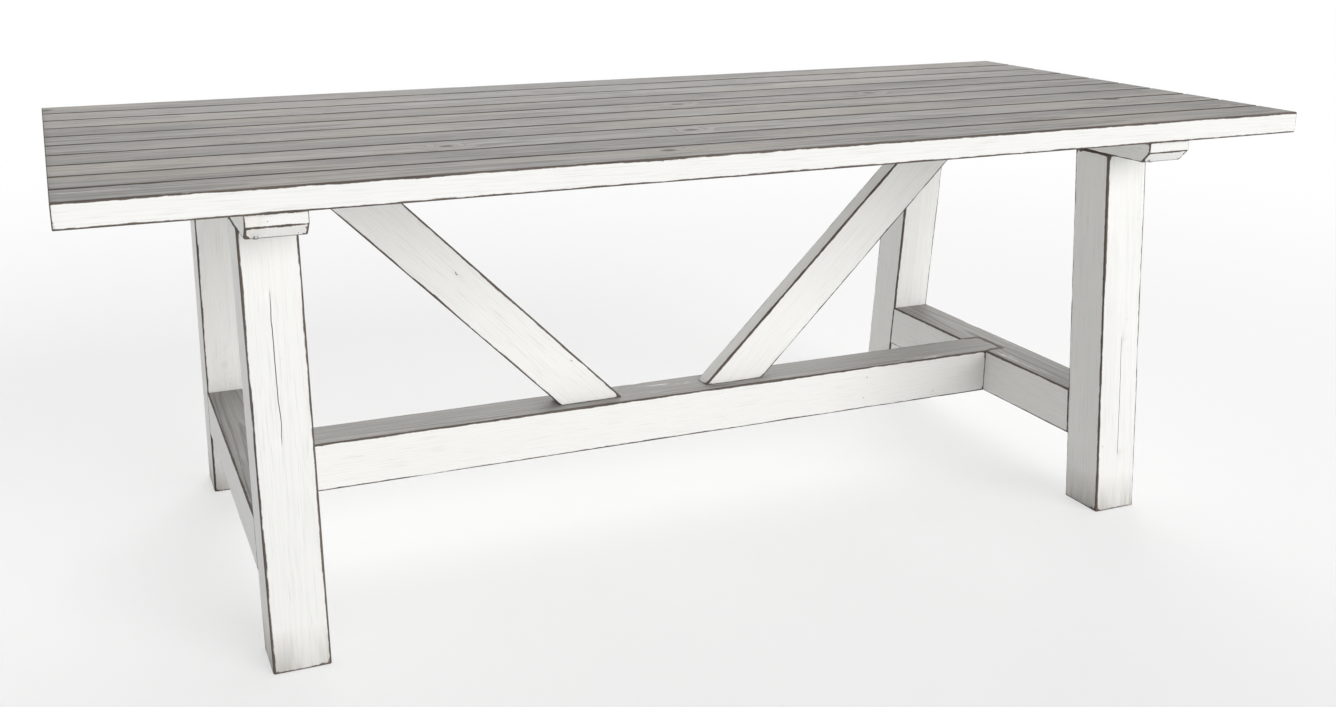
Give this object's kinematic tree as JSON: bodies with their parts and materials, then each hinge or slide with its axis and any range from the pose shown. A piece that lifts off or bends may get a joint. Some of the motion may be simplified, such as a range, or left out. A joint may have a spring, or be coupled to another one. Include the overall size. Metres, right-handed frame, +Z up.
{
  "type": "farmhouse dining table",
  "caption": "Rectangular farmhouse trestle table with a spaced plank top on splayed leg frames, low stretchers and raking braces, for dining and kitchen use.",
  "frame": {"origin": "on the floor under the middle of the top", "axes": "+X along the length of the top, +Y from the front long side to the back, +Z up"},
  "size_m": [2.1336, 0.9268, 0.762],
  "materials": {
    "top_boards": "grey wash, matt",
    "painted_frame": "white paint, eggshell, rubbed at the edges",
    "screws": "zinc plated"
  },
  "bodies": {
    "root": {"top_board_01": "top_boards", "top_board_02": "top_boards", "top_board_03": "top_boards", "top_board_04": "top_boards", "top_board_05": "top_boards", "top_board_06": "top_boards", "top_board_07": "top_boards", "top_board_08": "top_boards", "top_board_09": "top_boards", "top_board_10": "top_boards", "left_batten": "painted_frame", "front_left_leg": "painted_frame", "back_left_leg": "painted_frame", "left_end_stretcher": "painted_frame", "left_brace": "painted_frame", "right_batten": "painted_frame", "front_right_leg": "painted_frame", "back_right_leg": "painted_frame", "right_end_stretcher": "painted_frame", "right_brace": "painted_frame", "centre_cleat": "painted_frame", "centre_stretcher": "painted_frame", "left_batten_screws": "screws", "right_batten_screws": "screws", "cleat_screws": "screws", "lap_screws": "screws", "brace_foot_screws": "screws", "brace_top_screws": "screws"}
  },
  "joints": []
}
